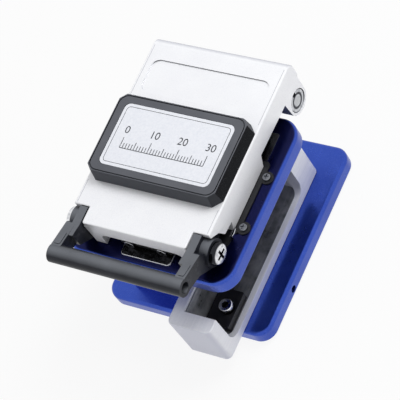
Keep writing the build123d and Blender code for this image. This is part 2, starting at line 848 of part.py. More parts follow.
with BuildPart() as arm_screw:
    with BuildSketch(Plane.XY.offset(foot_top)):
        with Locations((arm_screw_x, arm_screw_y)):
            Circle(arm_head_r)
    extrude(amount=arm_head_thick)
    fillet(arm_screw.edges().sort_by(Axis.Z)[-1], arm_head_edge)
    with BuildSketch(Plane.XY.offset(foot_top)):
        with Locations((arm_screw_x, arm_screw_y)):
            Circle(arm_screw_r)
    extrude(amount=-arm_foot_height)
    with BuildSketch(Plane.XY.offset(foot_top + arm_head_thick)):
        with Locations((arm_screw_x, arm_screw_y)):
            RegularPolygon(arm_socket_r, 6)
    extrude(amount=-arm_socket_depth, mode=Mode.SUBTRACT)
save(arm_screw, "arm_screw")

# Axle screw of the blade, its inner washer, and the round blade
axle_axis = Axis((0, blade_y, blade_z), (1, 0, 0))
with BuildPart() as blade_axle:
    shoulder_r = blade_bore_r - pin_gap
    with BuildSketch(Plane.XY.offset(blade_z)):
        with BuildLine():
            Polyline(
                (arm_left, blade_y),
                (arm_left, blade_y + axle_shank_r),
                (arm_right, blade_y + axle_shank_r),
                (arm_right, blade_y + shoulder_r),
                (axle_head_x, blade_y + shoulder_r),
                (axle_head_x, blade_y + axle_head_r),
                (axle_head_x + axle_head_thick, blade_y + axle_head_r - axle_head_edge),
                (axle_head_x + axle_head_thick, blade_y),
                close=True,
            )
        make_face()
    revolve(axis=axle_axis)
    with BuildSketch(side_plane(axle_head_x + axle_head_thick, blade_y, blade_z)):
        Rectangle(axle_slot_length, axle_slot_width)
    extrude(amount=-axle_slot_width, mode=Mode.SUBTRACT)
save(blade_axle, "blade_axle")

with BuildPart() as blade_washer:
    with BuildSketch(side_plane(arm_right, blade_y, blade_z)):
        Circle(washer_r)
        Circle(blade_bore_r, mode=Mode.SUBTRACT)
    extrude(amount=washer_thick)
save(blade_washer, "blade_washer")

with BuildPart() as cutting_blade:
    with BuildSketch(Plane.XY.offset(blade_z)):
        with BuildLine():
            Polyline(
                (blade_left, blade_y + blade_bore_r),
                (blade_left, blade_y + blade_r - blade_bevel),
                (blade_x - blade_edge_half, blade_y + blade_r),
                (blade_x + blade_edge_half, blade_y + blade_r),
                (blade_right, blade_y + blade_r - blade_bevel),
                (blade_right, blade_y + blade_bore_r),
                close=True,
            )
        make_face()
    revolve(axis=axle_axis)
save(cutting_blade, "cutting_blade")

# Hinge bracket: a foot on the column's rear face, beside the slider's way, and the knuckle
with BuildPart() as hinge_bracket:
    bracket_top = platform_z - move_gap
    bracket_rear = column_rear + bracket_thick
    with BuildSketch(front_plane(column_rear)):
        with Locations((bracket_mid_x, (platform_z - bracket_foot + bracket_top) / 2)):
            Rectangle(column_right + bracket_half, bracket_foot - move_gap)
    extrude(amount=-bracket_thick)
    fillet(hinge_bracket.edges().filter_by(Axis.Y).group_by(Axis.Z)[0], bracket_corner)
    with BuildSketch(Plane.YZ.offset(-bracket_half)):
        with BuildLine():
            Polyline(
                (column_rear, bracket_top - bracket_neck),
                (bracket_rear, bracket_top - bracket_neck),
                (hinge_y + knuckle_r, hinge_z),
                (platform_rear + 2 * move_gap, hinge_z),
                (platform_rear + 2 * move_gap, bracket_top),
                (column_rear, bracket_top),
                close=True,
            )
        make_face()
        with Locations((hinge_y, hinge_z)):
            Circle(knuckle_r)
            Circle(hinge_pin_r, mode=Mode.SUBTRACT)
    extrude(amount=2 * bracket_half)
    with BuildSketch(front_plane(column_rear)):
        with Locations(*[(x, bracket_screw_z) for x in bracket_screw_xs]):
            Circle(bracket_screw_r + screw_gap)
    extrude(amount=-bracket_thick, mode=Mode.SUBTRACT)
save(hinge_bracket, "hinge_bracket")

with BuildPart() as bracket_screws:
    with BuildSketch(front_plane(bracket_rear)):
        with Locations(*[(x, bracket_screw_z) for x in bracket_screw_xs]):
            Circle(bracket_head_r)
    extrude(amount=-bracket_head_thick)
    fillet(bracket_screws.edges().group_by(Axis.Y)[-1], bracket_head_edge)
    with BuildSketch(front_plane(bracket_rear)):
        with Locations(*[(x, bracket_screw_z) for x in bracket_screw_xs]):
            Circle(bracket_screw_r)
    extrude(amount=bracket_thick + bracket_screw_reach)
    with BuildSketch(front_plane(bracket_rear + bracket_head_thick)):
        with Locations(*[(x, bracket_screw_z) for x in bracket_screw_xs]):
            RegularPolygon(bracket_socket_r, 6)
    extrude(amount=bracket_socket_depth, mode=Mode.SUBTRACT)
save(bracket_screws, "bracket_screws")

# Hinge pin, with a slotted cap at each end inside the lid's lug bores
with BuildPart() as hinge_pin:
    with BuildSketch(side_plane(-pin_end, hinge_y, hinge_z)):
        Circle(hinge_pin_r)
    extrude(amount=2 * pin_end)
save(hinge_pin, "hinge_pin")

with BuildPart() as pin_caps:
    for side in (-1, 1):
        with BuildSketch(side_plane(side * (pin_end - cap_thick), hinge_y, hinge_z)):
            Circle(cap_r)
            Circle(hinge_pin_r, mode=Mode.SUBTRACT)
            with Locations((0, cap_r)):
                Rectangle(cap_slot_width, 2 * cap_slot_depth, mode=Mode.SUBTRACT)
        extrude(amount=side * cap_thick)
save(pin_caps, "pin_caps")

# Lid: one casting with roof, skirt, hinge lugs, front tongue and two legs.
# The side wall's front steps forward above the skirt, as offsets from the skirt's front end.
wall_steps = [(1.4, 3.1), (-3.2, 3.5), (-4.7, 7.0)]
wall_tip = 1.6
skirt_lean = 1.7
lug_lean = 0.4
with BuildPart() as lid:
    with BuildSketch(Plane.YZ.offset(-lid_half)):
        with BuildLine():
            Polyline(
                (hinge_y - lug_r, hinge_z),
                (hinge_y - lug_r - lug_lean, lid_step_z - lug_lean),
                (fibre_y + skirt_rear + skirt_lean, lid_step_z),
                (fibre_y + skirt_rear, lid_skirt_z),
                (fibre_y - skirt_front, lid_skirt_z),
                *[(fibre_y - skirt_front + back, lid_skirt_z + up) for back, up in wall_steps],
                (tongue_rear, lid_top - wall_tip),
                (tongue_rear, lid_top),
                (lid_rear, lid_top),
                (lid_rear, lid_band_z),
                (hinge_y + lug_r, lid_step_z),
                (hinge_y + lug_r, hinge_z),
            )
            ThreePointArc(
                (hinge_y + lug_r, hinge_z), (hinge_y, hinge_z - lug_r), (hinge_y - lug_r, hinge_z)
            )
        make_face()
    extrude(amount=2 * lid_half)
    fillet(lid.edges().filter_by(Axis.X).group_by(Axis.Z)[-1].sort_by(Axis.Y)[-1], lid_rear_round)
    with BuildSketch(Plane.XY.offset(lid_band_z)):
        with Locations((0, (lid_front + tongue_rear) / 2)):
            Rectangle(2 * tongue_half, tongue_depth)
        fillet(vertices().group_by(Axis.Y)[0], tongue_corner)
    extrude(amount=lid_top - lid_band_z)
    fillet(lid.faces().sort_by(Axis.Z)[-1].edges(), lid_edge)
    lug_under_z = hinge_z - lug_r
    hollow_rear = lid_rear - lid_wall
    with BuildSketch(Plane.XY.offset(lug_under_z)):
        with Locations((0, (tongue_rear + hollow_rear) / 2)):
            Rectangle(2 * wall_in, hollow_rear - tongue_rear)
        with Locations((0, (lid_front + band_depth + tongue_rear) / 2)):
            Rectangle(2 * leg_in, tongue_depth - band_depth)
    extrude(amount=roof_z - lug_under_z, mode=Mode.SUBTRACT)
    with BuildSketch(Plane.XY.offset(lug_under_z)):
        with Locations((0, lid_rear)):
            Rectangle(2 * lug_in, 2 * (lid_rear - hinge_y))
    extrude(amount=lid_band_z - lug_under_z, mode=Mode.SUBTRACT)
    leg_mid_x = (leg_in + tongue_half) / 2
    with BuildSketch(Plane.XY.offset(leg_z)):
        with Locations((-leg_mid_x, lid_front + leg_depth / 2), (leg_mid_x, lid_front + leg_depth / 2)):
            Rectangle(leg_width, leg_depth)
    extrude(amount=roof_z - leg_z)
    with BuildSketch(front_plane(lid_front)):
        for side in (-1, 1):
            with BuildLine():
                Line((side * leg_in, lid_band_z), (side * (leg_in - arch_r), lid_band_z))
                RadiusArc(
                    (side * (leg_in - arch_r), lid_band_z), (side * leg_in, lid_band_z - arch_r), side * arch_r
                )
                Line((side * leg_in, lid_band_z - arch_r), (side * leg_in, lid_band_z))
            make_face()
    extrude(amount=-band_depth)
    for side in (-1, 1):
        with BuildSketch(side_plane(side * wall_in, hinge_y, hinge_z)):
            Circle(lug_r)
            with Locations((0, (roof_z - hinge_z) / 2)):
                Rectangle(2 * lug_r, roof_z - hinge_z)
        extrude(amount=-side * (lug_width - lid_wall))
        with BuildSketch(side_plane(side * lid_half, hinge_y, hinge_z)):
            Circle(lug_bore_r)
        extrude(amount=-side * lug_bore_depth, mode=Mode.SUBTRACT)
        with BuildSketch(side_plane(side * lid_half, hinge_y, hinge_z)):
            Circle(hinge_pin_r + pin_gap)
        extrude(amount=-side * lug_width, mode=Mode.SUBTRACT)
        with BuildSketch(side_plane(side * tongue_half, bail_pivot_y, bail_pivot_z)):
            Circle(bail_shank_r)
        extrude(amount=-side * leg_width, mode=Mode.SUBTRACT)
        with BuildSketch(side_plane(side * tongue_half, bail_pivot_y, bail_pivot_z)):
            Circle(bail_spring_r + spring_wire_r + screw_gap)
        extrude(amount=-side * bail_spring_depth, mode=Mode.SUBTRACT)
    with BuildSketch(Plane.XY.offset(lid_top)):
        with Locations((0, (recess_front + recess_rear) / 2)):
            RectangleRounded(2 * (lid_half - recess_side_inset), recess_rear - recess_front, recess_corner)
    extrude(amount=-recess_depth, mode=Mode.SUBTRACT)
save(lid, "lid")

# Thumb pad: sloping sides, corners cut wider at the foot, a groove round its top face
# and a recess for the label
with BuildPart() as thumb_pad:
    with BuildSketch(Plane.XY.offset(lid_top)):
        with Locations((0, pad_mid_y)):
            Rectangle(2 * pad_half, pad_length)
        chamfer(vertices(), pad_foot_cut)
    with BuildSketch(Plane.XY.offset(pad_top)):
        with Locations((0, pad_mid_y)):
            Rectangle(2 * (pad_half - pad_slope), pad_length - 2 * pad_slope)
        chamfer(vertices(), pad_top_cut)
    loft()
    fillet(thumb_pad.edges().group_by(Axis.Z)[1], pad_round)
    fillet(thumb_pad.faces().sort_by(Axis.Z)[-1].edges(), pad_edge)
    groove_half = pad_half - pad_slope - pad_groove_inset
    groove_length = pad_length - 2 * (pad_slope + pad_groove_inset)
    with BuildSketch(Plane.XY.offset(pad_top)):
        with Locations((0, pad_mid_y)):
            RectangleRounded(2 * groove_half, groove_length, pad_groove_corner)
            RectangleRounded(
                2 * (groove_half - pad_groove_width),
                groove_length - 2 * pad_groove_width,
                pad_groove_corner - pad_groove_width,
                mode=Mode.SUBTRACT,
            )
    extrude(amount=-pad_groove_depth, mode=Mode.SUBTRACT)
    with BuildSketch(Plane.XY.offset(pad_top)):
        with Locations((0, pad_mid_y)):
            RectangleRounded(2 * label_half, label_length, label_corner)
    extrude(amount=-label_recess, mode=Mode.SUBTRACT)
save(thumb_pad, "thumb_pad")

with BuildPart() as label_plate:
    with BuildSketch(Plane.XY.offset(pad_top - label_recess)):
        with Locations((0, pad_mid_y)):
            RectangleRounded(2 * (label_half - label_gap), label_length - 2 * label_gap, label_corner)
    extrude(amount=label_thick)
save(label_plate, "label_plate")

# Anvil that hangs from the lid's roof above the blade
with BuildPart() as anvil_holder:
    with BuildSketch(Plane.XY.offset(anvil_z + anvil_pad_thick)):
        with Locations((blade_x, fibre_y)):
            Rectangle(anvil_width, anvil_length)
    extrude(amount=roof_z - anvil_z - anvil_pad_thick)
    with BuildSketch(Plane.XY.offset(roof_z - anvil_foot_thick)):
        with Locations((blade_x, fibre_y)):
            RectangleRounded(anvil_foot_width, anvil_foot_length, anvil_foot_corner)
    extrude(amount=anvil_foot_thick)
save(anvil_holder, "anvil_holder")

with BuildPart() as anvil_pad:
    with BuildSketch(Plane.XY.offset(anvil_z)):
        with Locations((blade_x, fibre_y)):
            Rectangle(anvil_width, anvil_length)
    extrude(amount=anvil_pad_thick)
save(anvil_pad, "anvil_pad")

# Clamp arm: knuckles on the hinge pin, a cross bar, a strip and a neck to the front block
with BuildPart() as clamp_arm:
    bar_front = hinge_y - arm_bar_front
    bar_rear = hinge_y - arm_bar_rear
    strip_left = blade_x - arm_strip_left
    strip_right = blade_x + arm_strip_right
    strip_front = fibre_y - arm_strip_front
    with BuildSketch(Plane.XY.offset(arm_under_z)):
        with BuildLine():
            Polyline(
                (-knuckle_out, bar_rear),
                (knuckle_out, bar_rear),
                (knuckle_out, bar_front),
                (strip_right, bar_front - arm_bar_slope),
                (strip_right, strip_front),
                (arm_neck_half, strip_front - arm_neck_slope),
                (arm_neck_half, block_front + block_depth),
                (-arm_neck_half, block_front + block_depth),
                (-arm_neck_half, strip_front - arm_neck_slope),
                (strip_left, strip_front),
                (strip_left, bar_front),
                (-knuckle_out, bar_front),
                close=True,
            )
        make_face()
        with Locations((blade_x, fibre_y)):
            Rectangle(anvil_width + 2 * anvil_clear, anvil_length + 2 * anvil_clear, mode=Mode.SUBTRACT)
    extrude(amount=arm_plate_thick)
    fillet(clamp_arm.faces().sort_by(Axis.Z)[-1].outer_wire().edges(), arm_plate_edge)
    for side in (-1, 1):
        with BuildSketch(Plane.YZ.offset(side * knuckle_in)):
            with BuildLine():
                Polyline(
                    (bar_rear - arm_knuckle_root, arm_under_z),
                    (hinge_y - knuckle_r, hinge_z),
                    (hinge_y, hinge_z),
                    (hinge_y, hinge_z + knuckle_r),
                    (bar_rear - arm_knuckle_root, arm_top_z),
                    close=True,
                )
            make_face()
            with Locations((hinge_y, hinge_z)):
                Circle(knuckle_r)
                Circle(hinge_pin_r + pin_gap, mode=Mode.SUBTRACT)
        extrude(amount=side * arm_knuckle_width)
    with BuildSketch(Plane.XY.offset(block_under_z)):
        with Locations((0, block_front + block_depth / 2)):
            Rectangle(2 * arm_neck_half, block_depth)
    extrude(amount=block_height)
    fillet(clamp_arm.edges().filter_by(Axis.X).group_by(Axis.Y)[0].group_by(Axis.Z)[0], block_edge)
    with BuildSketch(front_plane(block_front)):
        with Locations(*front_screw_points):
            Circle(front_screw_r)
    extrude(amount=-front_screw_reach, mode=Mode.SUBTRACT)
save(clamp_arm, "clamp_arm")

with BuildPart() as front_screws:
    with BuildSketch(front_plane(block_front)):
        with Locations(*front_screw_points):
            Circle(front_head_r)
    extrude(amount=front_head_thick)
    fillet(front_screws.edges().group_by(Axis.Y)[0], front_head_edge)
    with BuildSketch(front_plane(block_front)):
        with Locations(*front_screw_points):
            Circle(front_screw_r)
    extrude(amount=-front_screw_reach)
    with BuildSketch(front_plane(block_front - front_head_thick)):
        with Locations(*front_screw_points):
            Rectangle(front_cross_length, front_cross_width)
            Rectangle(front_cross_width, front_cross_length)
    extrude(amount=-front_cross_depth, mode=Mode.SUBTRACT)
save(front_screws, "front_screws")

with BuildPart() as upper_clamps:
    with BuildSketch(Plane.XY.offset(upper_rubber_z + rubber_thick)):
        with Locations(*[(x, fibre_y) for x in clamp_xs]):
            Rectangle(clamp_width, clamp_length)
    extrude(amount=arm_under_z - upper_rubber_z - rubber_thick)
save(upper_clamps, "upper_clamps")

with BuildPart() as upper_pads:
    with BuildSketch(Plane.XY.offset(upper_rubber_z)):
        with Locations(*[(x, fibre_y) for x in clamp_xs]):
            RectangleRounded(clamp_width - 2 * rubber_inset, clamp_length - 2 * rubber_inset, rubber_corner)
    extrude(amount=rubber_thick)
save(upper_pads, "upper_pads")

# Torsion springs between lid and clamp arm, wound round the hinge pin
with BuildPart() as clamp_springs:
    for side in (-1, 1):
        coil_mid = side * (bracket_half + knuckle_in) / 2
        with BuildLine() as clamp_coil:
            Helix(
                spring_pitch,
                spring_length,
                spring_r,
                center=(coil_mid - spring_length / 2, hinge_y, hinge_z),
                direction=(1, 0, 0),
            )
        with BuildSketch(Plane(clamp_coil.line @ 0, z_dir=clamp_coil.line % 0)):
            Circle(spring_wire_r)
        sweep(path=clamp_coil.line, is_frenet=True)
save(clamp_springs, "clamp_springs")

# Return springs of the bail, in the recesses of the lid's legs
with BuildPart() as bail_springs:
    bail_coil_length = bail_spring_depth - 2 * spring_wire_r - 2 * screw_gap
    for side in (-1, 1):
        coil_mid = side * (tongue_half - bail_spring_depth / 2)
        with BuildLine() as bail_coil:
            Helix(
                spring_pitch,
                bail_coil_length,
                bail_spring_r,
                center=(coil_mid - bail_coil_length / 2, bail_pivot_y, bail_pivot_z),
                direction=(1, 0, 0),
            )
        with BuildSketch(Plane(bail_coil.line @ 0, z_dir=bail_coil.line % 0)):
            Circle(spring_wire_r)
        sweep(path=bail_coil.line, is_frenet=True)
save(bail_springs, "bail_springs")

# Bail: two cranked side arms joined by a round bar.
# The outlines of its inner webs and outer arms are offsets from the pivot, to the rear and up.
web_outline = [
    (2.0, 6.0), (2.0, 3.6), (5.6, 0.6), (11.3, -1.1), (10.9, -2.0),
    (2.6, -3.9), (-2.9, -4.1), (-8.5, 0.9), (-8.5, 6.8), (-4.1, 6.0),
]
arm_outline = [
    (-4.1, 6.0), (-15.4, 8.39), (-14.8, 5.5), (-14.0, 2.65),
    (-8.5, 0.9), (-2.9, -4.1), (0.0, 0.0), (-3.3, 4.9),
]
with BuildPart() as bail_handle:
    for side in (-1, 1):
        with BuildSketch(side_plane(side * web_in, bail_pivot_y, bail_pivot_z)):
            with BuildLine():
                Polyline(*web_outline, close=True)
            make_face()
        extrude(amount=side * (web_out - web_in))
        with BuildSketch(side_plane(side * web_out, bail_pivot_y, bail_pivot_z)):
            Circle(bail_boss_r)
        extrude(amount=side * (boss_out - web_out))
        with BuildSketch(side_plane(side * arm_in, bail_pivot_y, bail_pivot_z)):
            with BuildLine():
                Polyline(*arm_outline, close=True)
            make_face()
            with Locations((-bail_bar_reach, bail_bar_rise)):
                Circle(bail_bar_r)
        extrude(amount=side * bail_arm_thick)
        inset_origin = (side * (arm_in + bail_half) / 2, bail_pivot_y - inset_back, bail_pivot_z + inset_height)
        with BuildSketch(Plane(inset_origin).rotated((-inset_tilt, 0, 0))):
            RectangleRounded(inset_width, inset_length, inset_width / 4)
        extrude(amount=inset_rise)
    with BuildSketch(side_plane(-bail_half, bail_pivot_y - bail_bar_reach, bail_pivot_z + bail_bar_rise)):
        Circle(bail_bar_r)
    extrude(amount=2 * bail_half)
    for side in (-1, 1):
        bar_end = side_plane(side * bail_half, bail_pivot_y - bail_bar_reach, bail_pivot_z + bail_bar_rise)
        with BuildSketch(bar_end):
            Circle(bail_bar_bore_r)
        extrude(amount=-side * bail_bar_bore_depth, mode=Mode.SUBTRACT)
        with BuildSketch(side_plane(side * boss_out, bail_pivot_y, bail_pivot_z)):
            Circle(bail_shank_r + pin_gap)
        extrude(amount=-side * (boss_out - web_in), mode=Mode.SUBTRACT)
save(bail_handle, "bail_handle")

# Pivot screws of the bail, screwed into the lid's legs
with BuildPart() as bail_screws:
    for side in (-1, 1):
        with BuildSketch(side_plane(side * leg_in, bail_pivot_y, bail_pivot_z)):
            Circle(bail_shank_r)
        extrude(amount=side * (bail_head_x - leg_in))
        with BuildSketch(side_plane(side * bail_head_x, bail_pivot_y, bail_pivot_z)):
            Circle(bail_head_r)
        extrude(amount=side * bail_head_thick)
    fillet(bail_screws.edges().group_by(Axis.X)[0], bail_head_edge)
    fillet(bail_screws.edges().group_by(Axis.X)[-1], bail_head_edge)
    for side in (-1, 1):
        with BuildSketch(side_plane(side * (bail_head_x + bail_head_thick), bail_pivot_y, bail_pivot_z)):
            Rectangle(bail_cross_length, bail_cross_width)
            Rectangle(bail_cross_width, bail_cross_length)
        extrude(amount=-side * bail_cross_depth, mode=Mode.SUBTRACT)
save(bail_screws, "bail_screws")
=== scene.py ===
"""Looks of the optical fibre cleaver: finishes of every piece, the small printed
and formed details, a white studio and the camera of the photograph.

Units are metres, in the part's own frame: +Z up, -Y the front, X along the fibre.
"""
import json
from math import cos, pi, radians, sin, tau

import bmesh
import bpy
from mathutils import Matrix, Vector


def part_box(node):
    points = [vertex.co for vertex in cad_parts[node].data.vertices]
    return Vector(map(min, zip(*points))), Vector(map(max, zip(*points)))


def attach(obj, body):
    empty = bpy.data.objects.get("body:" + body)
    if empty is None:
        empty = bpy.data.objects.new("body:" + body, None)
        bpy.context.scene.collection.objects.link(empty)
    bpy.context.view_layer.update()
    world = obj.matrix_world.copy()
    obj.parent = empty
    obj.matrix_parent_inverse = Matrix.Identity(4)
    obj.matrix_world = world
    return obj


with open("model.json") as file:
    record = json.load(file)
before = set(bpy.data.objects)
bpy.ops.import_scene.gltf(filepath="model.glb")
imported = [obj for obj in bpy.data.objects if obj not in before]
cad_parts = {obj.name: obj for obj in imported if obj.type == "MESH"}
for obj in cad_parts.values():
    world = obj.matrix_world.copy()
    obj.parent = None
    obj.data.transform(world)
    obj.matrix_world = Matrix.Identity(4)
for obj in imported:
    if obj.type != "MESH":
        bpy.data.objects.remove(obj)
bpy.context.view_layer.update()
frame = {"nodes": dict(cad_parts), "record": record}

MM = 0.001
PRINT_THICK = 0.02          # printed marks, in millimetres
NUMBER_HALF_THICK = 0.01    # numbers are extruded this far both ways
NUMBER_LIFT = 0.012         # from a face to the middle of its numbers

SKY_LEVEL = 0.42            # world light on the object; rays that show the background see 1
FLOOR_GREY = 0.75
FLOOR_GLOW_SHARE = 0.9      # the rest of the floor's look is its shading, which holds the shadow
FLOOR_HALF = 2.0            # metres
LAMP_AIM = (0.0, -0.003, 0.03)
LAMPS = (
    # name, watts, size and place in metres
    ("key", 4.9, 0.4, (0.24, 0.36, 0.72)),
    ("front_fill", 0.4, 0.5, (0.25, -0.75, 0.35)),
    ("side_fill", 0.2, 0.35, (0.6, 0.22, 0.42)),
)


class Shade:
    """A material with one Principled shader, and short calls for the nodes that feed it."""

    def __init__(self, name, rough, metal=0.0, **sockets):
        self.mat = bpy.data.materials.new(name)
        self.mat.use_nodes = True
        self.nodes = self.mat.node_tree.nodes
        self.links = self.mat.node_tree.links
        self.shader = self.nodes["Principled BSDF"]
        self.shader.inputs["Roughness"].default_value = rough
        self.shader.inputs["Metallic"].default_value = metal
        for socket, value in sockets.items():
            self.shader.inputs[socket.replace("_", " ")].default_value = value
        self.coords = self.nodes.new("ShaderNodeTexCoord").outputs["Object"]

    def put(self, value, socket):
        """Sets a socket from another socket or from a number or colour."""
        if isinstance(value, bpy.types.NodeSocket):
            self.links.new(value, socket)
        else:
            socket.default_value = value

    def stretched(self, x, y, z):
        """Coordinates that are scaled along the axes, for grain that runs one way."""
        node = self.nodes.new("ShaderNodeMapping")
        node.inputs["Scale"].default_value = (x, y, z)
        self.links.new(self.coords, node.inputs["Vector"])
        return node.outputs["Vector"]

    def noise(self, per_metre, detail=2.0, rough=0.5, along=None):
        node = self.nodes.new("ShaderNodeTexNoise")
        node.inputs["Scale"].default_value = per_metre
        node.inputs["Detail"].default_value = detail
        node.inputs["Roughness"].default_value = rough
        self.links.new(along or self.coords, node.inputs["Vector"])
        return node.outputs["Fac"]

    def cells(self, per_metre):
        node = self.nodes.new("ShaderNodeTexVoronoi")
        node.inputs["Scale"].default_value = per_metre
        self.links.new(self.coords, node.inputs["Vector"])
        return node.outputs["Color"]

    def math(self, operation, first, second=0.0):
        node = self.nodes.new("ShaderNodeMath")
        node.operation = operation
        self.put(first, node.inputs[0])
        self.put(second, node.inputs[1])
        return node.outputs[0]

    def fade(self, value, low, high, to_low=0.0, to_high=1.0):
        """Maps low..high of a value to to_low..to_high and holds it there outside."""
        node = self.nodes.new("ShaderNodeMapRange")
        self.put(value, node.inputs["Value"])
        ends = {"From Min": low, "From Max": high, "To Min": to_low, "To Max": to_high}
        for name, number in ends.items():
            node.inputs[name].default_value = number
        return node.outputs["Result"]

    def mix(self, factor, first, second):
        """Mixes two colours."""
        node = self.nodes.new("ShaderNodeMix")
        node.data_type = "RGBA"
        self.put(factor, node.inputs["Factor"])
        colours = [s for s in node.inputs if s.type == "RGBA"]
        self.put(first, colours[0])
        self.put(second, colours[1])
        return next(s for s in node.outputs if s.type == "RGBA")

    def bump(self, height, depth, strength=1.0, under=None):
        """Relief of the given depth in metres; under is a normal that it adds to."""
        node = self.nodes.new("ShaderNodeBump")
        node.inputs["Strength"].default_value = strength
        node.inputs["Distance"].default_value = depth
        self.links.new(height, node.inputs["Height"])
        if under:
            self.links.new(under, node.inputs["Normal"])
        self.links.new(node.outputs["Normal"], self.shader.inputs["Normal"])
        return node.outputs["Normal"]

    def facing(self, axis):
        """How far a face looks along an axis of the piece itself, from -1 to 1."""
        return self.split(self.nodes.new("ShaderNodeTexCoord").outputs["Normal"], axis)

    def place(self, axis):
        """Where a point lies along an axis of the piece itself, in metres."""
        return self.split(self.coords, axis)

    def split(self, vector, axis):
        node = self.nodes.new("ShaderNodeSeparateXYZ")
        self.links.new(vector, node.inputs[0])
        return node.outputs[axis]

    def away(self, y, z):
        """Distance in metres from a line along X."""
        node = self.nodes.new("ShaderNodeCombineXYZ")
        self.links.new(self.math("SUBTRACT", self.place("Y"), y), node.inputs["Y"])
        self.links.new(self.math("SUBTRACT", self.place("Z"), z), node.inputs["Z"])
        length = self.nodes.new("ShaderNodeVectorMath")
        length.operation = "LENGTH"
        self.links.new(node.outputs["Vector"], length.inputs[0])
        return length.outputs["Value"]

    def colour(self, value):
        self.put(value, self.shader.inputs["Base Color"])

    def roughness(self, value):
        self.put(value, self.shader.inputs["Roughness"])


def srgb(r, g, b):
    """A colour read as 0..255 in the picture, as linear RGBA."""
    linear = [((c / 255 + 0.055) / 1.055) ** 2.4 if c > 10 else c / 255 / 12.92 for c in (r, g, b)]
    return (*linear, 1.0)


def blue_enamel(name="blue_enamel", top=None):
    """Metallic royal blue under a clear coat: fine flake, slow waviness, small scuffs; top, if
    given, is a darker colour painted on up-facing faces as shade.
    """
    s = Shade(name, 0.3, 0.9, Coat_Weight=0.14, Coat_Roughness=0.12, Specular_IOR_Level=0.3)
    flake = s.cells(4200)
    body = s.mix(s.fade(s.noise(60, 3), 0.35, 0.65), srgb(48, 74, 170), srgb(56, 84, 182))
    body = s.mix(s.fade(flake, 0.55, 1.0, 0.0, 0.4), body, srgb(80, 106, 196))
    # Up-facing faces blend to the top colour when one is given: painted shade.
    s.colour(s.mix(s.fade(s.facing("Z"), 0.8, 0.97), body, top) if top else body)
    s.roughness(s.fade(s.noise(220, 4), 0.3, 0.75, 0.26, 0.36))
    waves = s.bump(s.noise(450, 2), 0.00004, 0.2)
    s.bump(flake, 0.00001, 0.12, waves)
    return s.mat


def silver_lacquer():
    """Pale satin silver with fine sparkle, as sprayed on the lid's casting, with painted shade on
    rear-looking faces and on the walls of its recess.
    """
    s = Shade("silver_lacquer", 0.36, 0.32, Coat_Weight=0.1, Coat_Roughness=0.25)
    grain = s.noise(3800, 2, 0.6)
    slow = s.noise(90, 3)
    body = s.mix(s.fade(slow, 0.3, 0.7), srgb(239, 240, 244), srgb(244, 245, 248))
    dotted = s.mix(s.fade(grain, 0.56, 0.72, 0.0, 0.4), body, srgb(214, 215, 222))
    paint = s.mix(s.fade(grain, 0.42, 0.3, 0.0, 0.7), dotted, srgb(250, 250, 252))
    # Faces that look to the rear are painted darker: painted shade.
    rear_painted_shade = s.mix(s.fade(s.facing("Y"), 0.15, 0.8), paint, srgb(178, 180, 190))
    behind_middle = s.fade(s.place("Y"), 0.0, 2 * MM)
    # Front-looking walls behind the lid's middle, the recess walls, are painted dark grey: painted
    # shade.
    recess_wall_painted_shade = s.math("MULTIPLY", s.fade(s.facing("Y"), -0.3, -0.7), behind_middle)
    s.colour(s.mix(recess_wall_painted_shade, rear_painted_shade, srgb(92, 94, 102)))
    s.roughness(s.fade(slow, 0.3, 0.7, 0.32, 0.4))
    s.bump(grain, 0.00003, 0.35)
    return s.mat


def silver_satin():
    """Bead-blasted aluminium of the slider, a little greyer, with fine draw lines and painted shade
    on its front faces.
    """
    s = Shade("silver_satin", 0.36, 0.28)
    lines = s.noise(900, 3, 0.6, s.stretched(1.0, 0.05, 1.0))
    grain = s.noise(4200, 2)
    body = s.mix(s.fade(lines, 0.35, 0.65), srgb(226, 228, 236), srgb(236, 237, 243))
    # Faces that look to the front are painted a darker, bluer grey: painted shade.
    body = s.mix(s.fade(s.facing("Y"), -0.3, -0.8), body, srgb(206, 208, 222))
    s.colour(s.mix(s.fade(grain, 0.55, 0.75, 0.0, 0.4), body, srgb(204, 206, 216)))
    s.roughness(s.fade(lines, 0.3, 0.7, 0.3, 0.42))
    s.bump(grain, 0.00002, 0.3)
    return s.mat


def black_anodised():
    """Satin black anodised aluminium, slightly brown-grey where it is handled."""
    s = Shade("black_anodise", 0.36, 0.0, Specular_IOR_Level=0.35)
    slow = s.noise(260, 4)
    s.colour(s.mix(s.fade(slow, 0.35, 0.7), srgb(22, 22, 25), srgb(34, 34, 37)))
    s.roughness(s.fade(slow, 0.3, 0.7, 0.28, 0.44))
    s.bump(s.noise(5200, 2), 0.00002, 0.3)
    return s.mat


def charcoal_plastic():
    """Moulded charcoal plastic of the thumb pad: fine spark texture, painted shade on its front
    faces and deep painted shade on its right flanks.
    """
    s = Shade("charcoal_plastic", 0.5, 0.0, Specular_IOR_Level=0.06)
    texture = s.noise(3600, 3, 0.65)
    slow = s.noise(120, 3)
    body = s.mix(s.fade(slow, 0.3, 0.7), srgb(90, 92, 98), srgb(98, 100, 106))
    # Front faces are painted darker and right flanks near black: painted shade.
    front = s.mix(s.fade(s.facing("Y"), -0.25, -0.7), body, srgb(78, 80, 86))
    flank_painted_shade = s.fade(s.facing("X"), 0.55, 0.9)
    face = s.mix(flank_painted_shade, front, srgb(16, 17, 20))
    s.colour(s.mix(s.fade(texture, 0.55, 0.75, 0.0, 0.3), face, srgb(100, 102, 108)))
    s.roughness(s.fade(slow, 0.3, 0.7, 0.42, 0.54))
    s.bump(texture, 0.00004, 0.4)
    return s.mat


